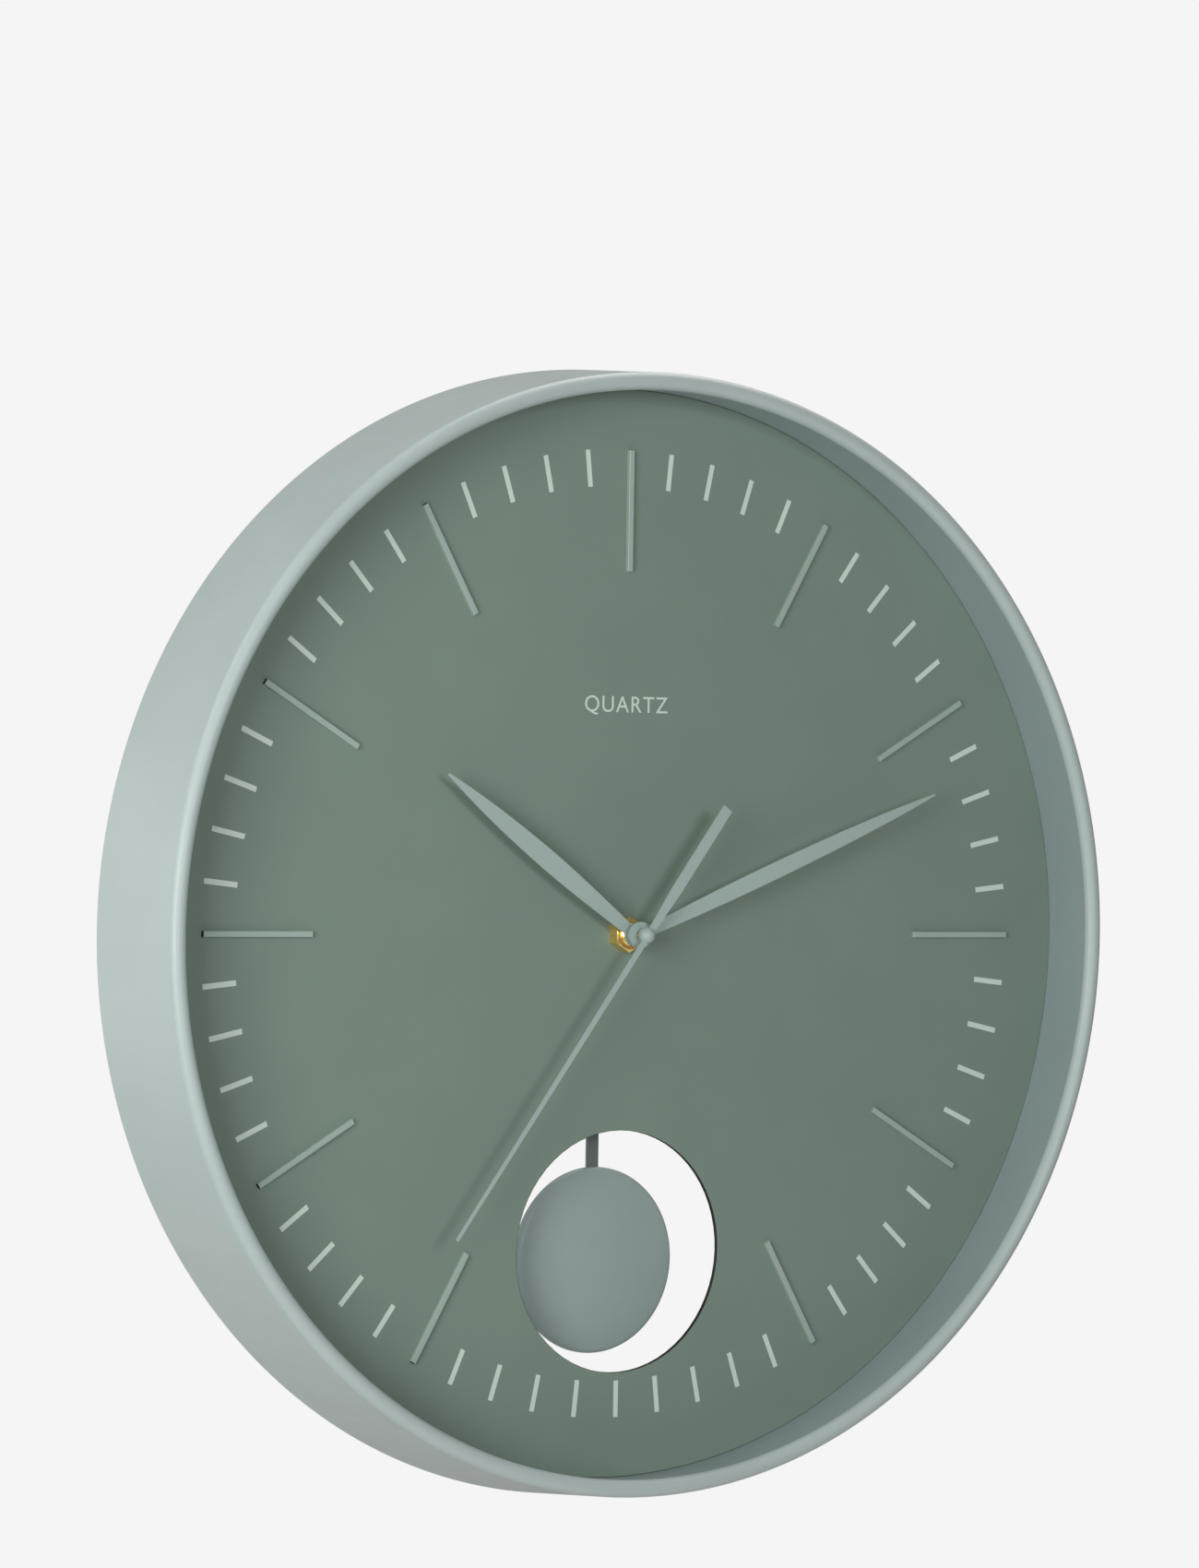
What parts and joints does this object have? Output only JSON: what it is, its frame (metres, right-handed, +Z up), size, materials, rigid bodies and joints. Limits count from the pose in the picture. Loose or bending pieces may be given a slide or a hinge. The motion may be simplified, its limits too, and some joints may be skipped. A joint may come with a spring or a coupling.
{
  "type": "pendulum wall clock",
  "caption": "Round wall clock with a deep rimmed metal case, matte dial with raised batons and tick marks, three hands, and a short pendulum whose bob swings behind a hole low in the dial.",
  "frame": {"origin": "centre of the rear rim plane that rests on the wall, on the axis of the hands", "axes": "+Z up, +Y into the wall, so the dial faces -Y; +X to the right of someone who reads the dial"},
  "size_m": [0.4, 0.046, 0.4],
  "materials": {
    "case_paint": "satin grey-green enamel on spun steel sheet",
    "dial_paint": "matte sage-green paint on aluminium sheet",
    "baton_paint": "matte light grey-green paint on aluminium",
    "hand_paint": "matte light grey-green paint on aluminium",
    "bob_paint": "satin grey-green enamel on stamped steel",
    "rod_paint": "satin grey-green enamel on steel strip",
    "brass": "bright machined brass",
    "zinc_steel": "zinc-plated steel",
    "polished_steel": "ground steel pin stock",
    "soft_iron": "stamped soft-iron sheet",
    "magnet": "sintered magnet, dark grey",
    "movement_plastic": "black moulded plastic with a fine spark texture",
    "knob_plastic": "light grey moulded plastic",
    "bridge_plastic": "natural moulded plastic",
    "gear_plastic": "ivory moulded acetal",
    "gasket_rubber": "black rubber sheet",
    "copper_wire": "enamelled copper winding wire",
    "board": "green fibreglass circuit board",
    "chip_resin": "black potting resin",
    "crystal_can": "tinned steel can",
    "contact_metal": "nickel-plated spring steel",
    "battery_sleeve": "plain dark printed sleeve with a bare metal end"
  },
  "bodies": {
    "clock_body": {"case_shell": "case_paint", "circuit_board": "board", "clock_chip": "chip_resin", "coil_bobbin": "bridge_plastic", "coil_winding": "copper_wire", "contact_negative": "contact_metal", "contact_positive": "contact_metal", "dial_nuts": "zinc_steel", "dial_plate": "dial_paint", "dial_studs": "zinc_steel", "drive_coil": "copper_wire", "drive_cover": "movement_plastic", "hanger_bracket": "zinc_steel", "hanger_rivets": "zinc_steel", "hex_nut": "brass", "hour_baton_01": "baton_paint", "hour_baton_02": "baton_paint", "hour_baton_03": "baton_paint", "hour_baton_04": "baton_paint", "hour_baton_05": "baton_paint", "hour_baton_07": "baton_paint", "hour_baton_08": "baton_paint", "hour_baton_09": "baton_paint", "hour_baton_10": "baton_paint", "hour_baton_11": "baton_paint", "hour_baton_12": "baton_paint", "inner_ring": "case_paint", "intermediate_post": "polished_steel", "motor_core": "soft_iron", "motor_stator": "soft_iron", "movement_case": "movement_plastic", "movement_gasket": "gasket_rubber", "movement_screws": "zinc_steel", "pivot_clip": "zinc_steel", "pivot_pin": "polished_steel", "quartz_crystal": "crystal_can", "threaded_bush": "brass", "train_bridge": "bridge_plastic", "train_cover": "movement_plastic"},
    "seconds_group": {"seconds_wheel": "gear_plastic", "second_hand": "hand_paint", "second_cap": "hand_paint"},
    "minute_group": {"minute_cannon": "brass", "centre_wheel": "gear_plastic", "minute_hand": "hand_paint"},
    "hour_group": {"hour_wheel": "gear_plastic", "hour_hand": "hand_paint"},
    "motion_gear": {"motion_wheel": "gear_plastic"},
    "third_gear": {"third_wheel": "gear_plastic"},
    "intermediate_gear": {"intermediate_wheel": "gear_plastic"},
    "rotor": {"rotor_pinion": "gear_plastic", "rotor_magnet": "magnet"},
    "setting_group": {"setting_arbor": "gear_plastic", "setting_knob": "knob_plastic"},
    "pendulum": {"pendulum_hanger": "knob_plastic", "drive_magnet": "magnet", "pendulum_rod": "rod_paint", "pendulum_bob": "bob_paint", "bob_rivets": "zinc_steel"},
    "battery_cell": {"battery": "battery_sleeve"}
  },
  "joints": [
    {"name": "second_spin", "type": "hinge", "parent": "clock_body", "child": "seconds_group", "pos_m": [0, -0.0084, 0], "axis": [0, 1, 0], "continuous": true},
    {"name": "minute_spin", "type": "hinge", "parent": "clock_body", "child": "minute_group", "pos_m": [0, -0.011, 0], "axis": [0, 1, 0], "continuous": true},
    {"name": "hour_spin", "type": "hinge", "parent": "clock_body", "child": "hour_group", "pos_m": [0, -0.015, 0], "axis": [0, 1, 0], "continuous": true},
    {"name": "motion_spin", "type": "hinge", "parent": "clock_body", "child": "motion_gear", "pos_m": [0.005, -0.0137, -0.00866], "axis": [0, 1, 0], "continuous": true},
    {"name": "third_spin", "type": "hinge", "parent": "clock_body", "child": "third_gear", "pos_m": [-0.012, -0.0097, 0], "axis": [0, 1, 0], "continuous": true},
    {"name": "intermediate_spin", "type": "hinge", "parent": "clock_body", "child": "intermediate_gear", "pos_m": [0.0045, -0.007, 0.00779], "axis": [0, 1, 0], "continuous": true},
    {"name": "rotor_spin", "type": "hinge", "parent": "clock_body", "child": "rotor", "pos_m": [0.01117, -0.007, 0.01164], "axis": [0, 1, 0], "continuous": true},
    {"name": "setting_spin", "type": "hinge", "parent": "clock_body", "child": "setting_group", "pos_m": [0.0144, -0.0137, -0.00524], "axis": [0, 1, 0], "continuous": true},
    {"name": "pendulum_swing", "type": "hinge", "parent": "clock_body", "child": "pendulum", "pos_m": [0, -0.0033, -0.0405], "axis": [0, 1, 0], "range_deg": [-7.5, 7.5]},
    {"name": "battery_slide", "type": "slide", "parent": "clock_body", "child": "battery_cell", "axis": [0, 1, 0], "range_m": [0, 0.02]}
  ],
  "couplings": [
    {"joint": "minute_spin", "follows": "second_spin", "ratio": 0.016667},
    {"joint": "hour_spin", "follows": "second_spin", "ratio": 0.0013889},
    {"joint": "motion_spin", "follows": "second_spin", "ratio": -0.0055556},
    {"joint": "third_spin", "follows": "second_spin", "ratio": -0.13333},
    {"joint": "intermediate_spin", "follows": "second_spin", "ratio": -5},
    {"joint": "rotor_spin", "follows": "second_spin", "ratio": 30},
    {"joint": "setting_spin", "follows": "second_spin", "ratio": 0.016667}
  ]
}
